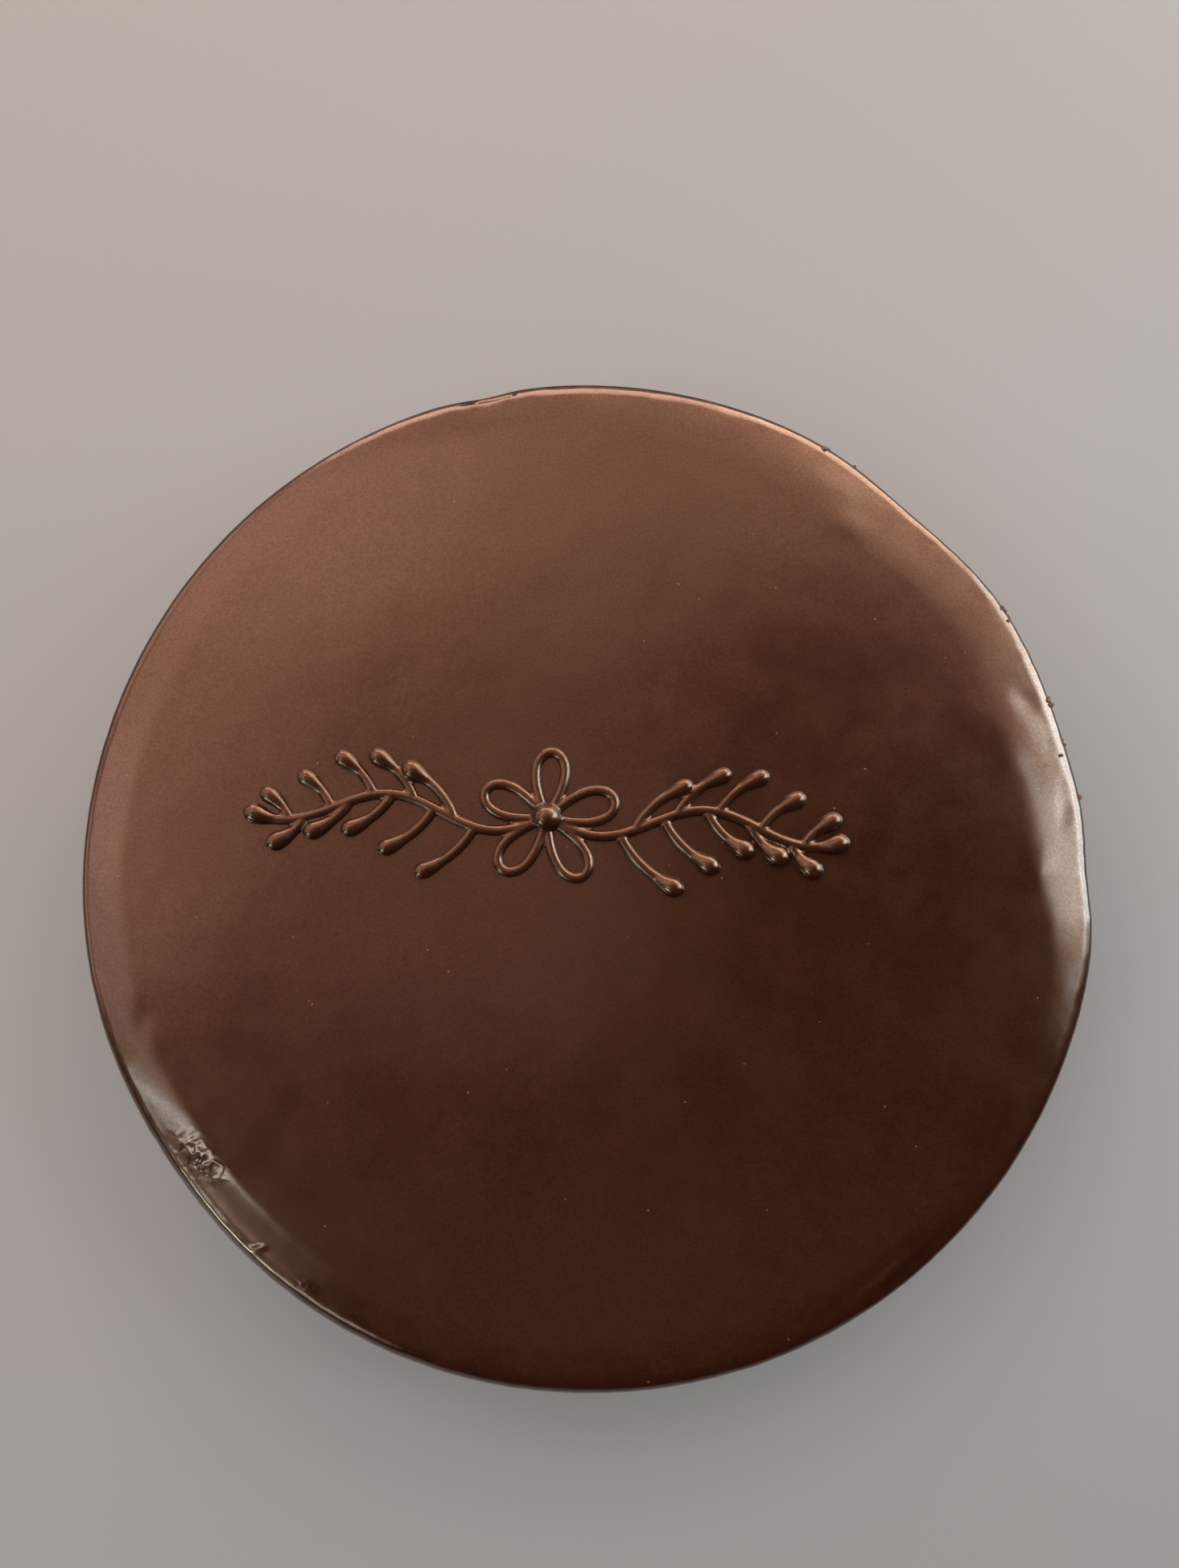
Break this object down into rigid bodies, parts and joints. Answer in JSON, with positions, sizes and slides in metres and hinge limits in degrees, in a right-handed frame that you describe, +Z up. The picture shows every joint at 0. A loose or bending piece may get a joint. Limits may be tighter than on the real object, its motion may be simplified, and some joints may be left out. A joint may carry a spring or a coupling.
{
  "type": "sachertorte cake",
  "caption": "Whole round chocolate torte, glazed all over in dark chocolate, with a blossom between two leafy sprigs piped in chocolate on its flat top.",
  "frame": {"origin": "middle of the flat base, on the surface that the cake stands on", "axes": "+Z up through the cake, +Y towards the upper edge of the piped ornament, +X towards its right end"},
  "size_m": [0.2223, 0.2223, 0.0575],
  "materials": {
    "glaze": "satin"
  },
  "bodies": {
    "root": {"torte": "glaze"}
  },
  "joints": []
}
